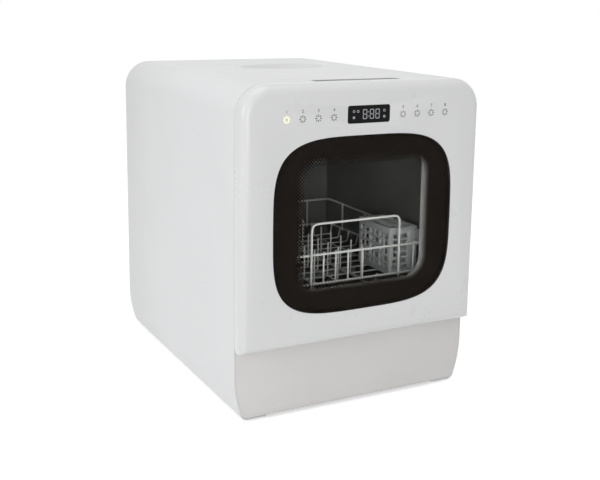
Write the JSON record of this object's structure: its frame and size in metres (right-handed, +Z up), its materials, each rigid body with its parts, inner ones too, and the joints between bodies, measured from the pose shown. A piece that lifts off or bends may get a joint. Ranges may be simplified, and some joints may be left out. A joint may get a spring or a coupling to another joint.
{
  "type": "countertop dishwasher",
  "caption": "Free-standing countertop dishwasher with a drop-down glazed door, touch panel, built-in water tank, wire rack and cutlery basket.",
  "frame": {"origin": "on the standing surface, under the middle of the body", "axes": "+Z up, -Y out of the door, +X to the right seen from the front"},
  "size_m": [0.38, 0.488, 0.47],
  "materials": {
    "white_steel": "satin white powder coat",
    "white_plastic": "smooth white moulding",
    "panel_grey": "satin warm white moulding",
    "grey_plastic": "moulded polypropylene",
    "rubber": "matt black rubber",
    "steel": "zinc-plated sheet steel",
    "stainless": "stainless steel",
    "tub_grey": "dark grey moulded polypropylene",
    "felt": "sound-damping felt",
    "black_plastic": "fine matt black moulding",
    "motor_metal": "cast motor can",
    "tank_plastic": "translucent white moulding",
    "aluminium": "folded fins",
    "circuit": "green solder mask",
    "window_glass": "toughened glass with a black printed border",
    "clear_glass": "toughened clear glass",
    "display_black": "gloss black lens",
    "key_light": "clear light guides",
    "arm_grey": "moulded polypropylene",
    "coated_wire": "steel wire with a pale coating",
    "basket_grey": "moulded polypropylene"
  },
  "bodies": {
    "cabinet": {"cabinet_shell": "white_steel", "rear_panel": "white_steel", "base_pan": "grey_plastic", "plinth_panel": "panel_grey", "feet": "rubber", "front_frame": "steel", "frame_posts": "steel", "hinge_brackets": "steel", "tub": "tub_grey", "insulation_felt": "felt", "door_gasket": "rubber", "switches": "black_plastic", "sump": "grey_plastic", "filter_plate": "stainless", "spray_hub": "grey_plastic", "hub_nut": "grey_plastic", "feed_pipe": "grey_plastic", "tub_heater": "stainless", "wash_pump": "grey_plastic", "pump_motor": "motor_metal", "pump_mounts": "rubber", "drain_pump": "grey_plastic", "hoses": "rubber", "water_tank": "tank_plastic", "fill_dish": "white_plastic", "fill_duct": "grey_plastic", "transfer_pump": "grey_plastic", "inlet_valve": "white_plastic", "hose_spigots": "grey_plastic", "power_inlet": "black_plastic", "air_duct": "grey_plastic", "drying_heater": "aluminium", "fan_housing": "black_plastic", "board_tray": "white_plastic", "main_board": "circuit", "rear_screws": "stainless"},
    "door": {"door_panel": "white_plastic", "window_glass": "window_glass", "glass_seal": "rubber", "window_retainer": "black_plastic", "door_liner": "tub_grey", "inner_glass": "clear_glass", "display_lens": "display_black", "control_board": "circuit", "key_lights": "key_light", "hinge_arms": "steel"},
    "catch": {"catch_lever": "grey_plastic"},
    "spray_arm": {"spray_arm": "arm_grey"},
    "filter": {"filter_cup": "grey_plastic"},
    "wash_impeller": {"pump_impeller": "white_plastic"},
    "drain_impeller": {"drain_impeller": "white_plastic"},
    "fan": {"fan_rotor": "black_plastic"},
    "fill_cap": {"fill_cap": "white_plastic"},
    "tub_float": {"tub_float": "white_plastic"},
    "tank_float": {"tank_float": "white_plastic"},
    "rack": {"wire_rack": "coated_wire", "cross_wires": "coated_wire", "plate_prongs": "coated_wire"},
    "cutlery_basket": {"cutlery_basket": "basket_grey"},
    "basket_lid": {"basket_lid": "basket_grey"}
  },
  "joints": [
    {"name": "door_hinge", "type": "hinge", "parent": "cabinet", "child": "door", "pos_m": [0, -0.228, 0.114], "axis": [1, 0, 0], "range_deg": [0, 90]},
    {"name": "catch_pivot", "type": "hinge", "parent": "cabinet", "child": "catch", "pos_m": [0, -0.186, 0.44863], "axis": [1, 0, 0], "range_deg": [-8, 0], "stiffness_Nm_per_rad": 0.05, "springref_deg": 2.86},
    {"name": "spray_arm_spin", "type": "hinge", "parent": "cabinet", "child": "spray_arm", "pos_m": [0, -0.02, 0.132], "axis": [0, 0, 1], "continuous": true},
    {"name": "filter_twist", "type": "hinge", "parent": "cabinet", "child": "filter", "pos_m": [0.09, -0.095, 0.1], "axis": [0, 0, 1], "range_deg": [0, 45]},
    {"name": "wash_impeller_spin", "type": "hinge", "parent": "cabinet", "child": "wash_impeller", "pos_m": [0.09, -0.03, 0.08], "axis": [0, 1, 0], "continuous": true},
    {"name": "drain_impeller_spin", "type": "hinge", "parent": "cabinet", "child": "drain_impeller", "pos_m": [0.03, -0.095, 0.072], "axis": [1, 0, 0], "continuous": true},
    {"name": "fan_spin", "type": "hinge", "parent": "cabinet", "child": "fan", "pos_m": [-0.11, 0.18, 0.15], "axis": [0, 1, 0], "continuous": true},
    {"name": "fill_cap_lift", "type": "slide", "parent": "cabinet", "child": "fill_cap", "axis": [0, 0, 1], "range_m": [0, 0.03]},
    {"name": "tub_float_lift", "type": "slide", "parent": "cabinet", "child": "tub_float", "axis": [0, 0, 1], "range_m": [0, 0.008]},
    {"name": "tank_float_lift", "type": "slide", "parent": "cabinet", "child": "tank_float", "axis": [0, 0, 1], "range_m": [0, 0.19]},
    {"name": "rack_slide", "type": "slide", "parent": "cabinet", "child": "rack", "axis": [0, -1, 0], "range_m": [0, 0.007]},
    {"name": "cutlery_basket_lift", "type": "slide", "parent": "rack", "child": "cutlery_basket", "axis": [0, 0, 1], "range_m": [0, 0.1]},
    {"name": "basket_lid_lift", "type": "slide", "parent": "cutlery_basket", "child": "basket_lid", "axis": [0, 0, 1], "range_m": [0, 0.03]}
  ]
}
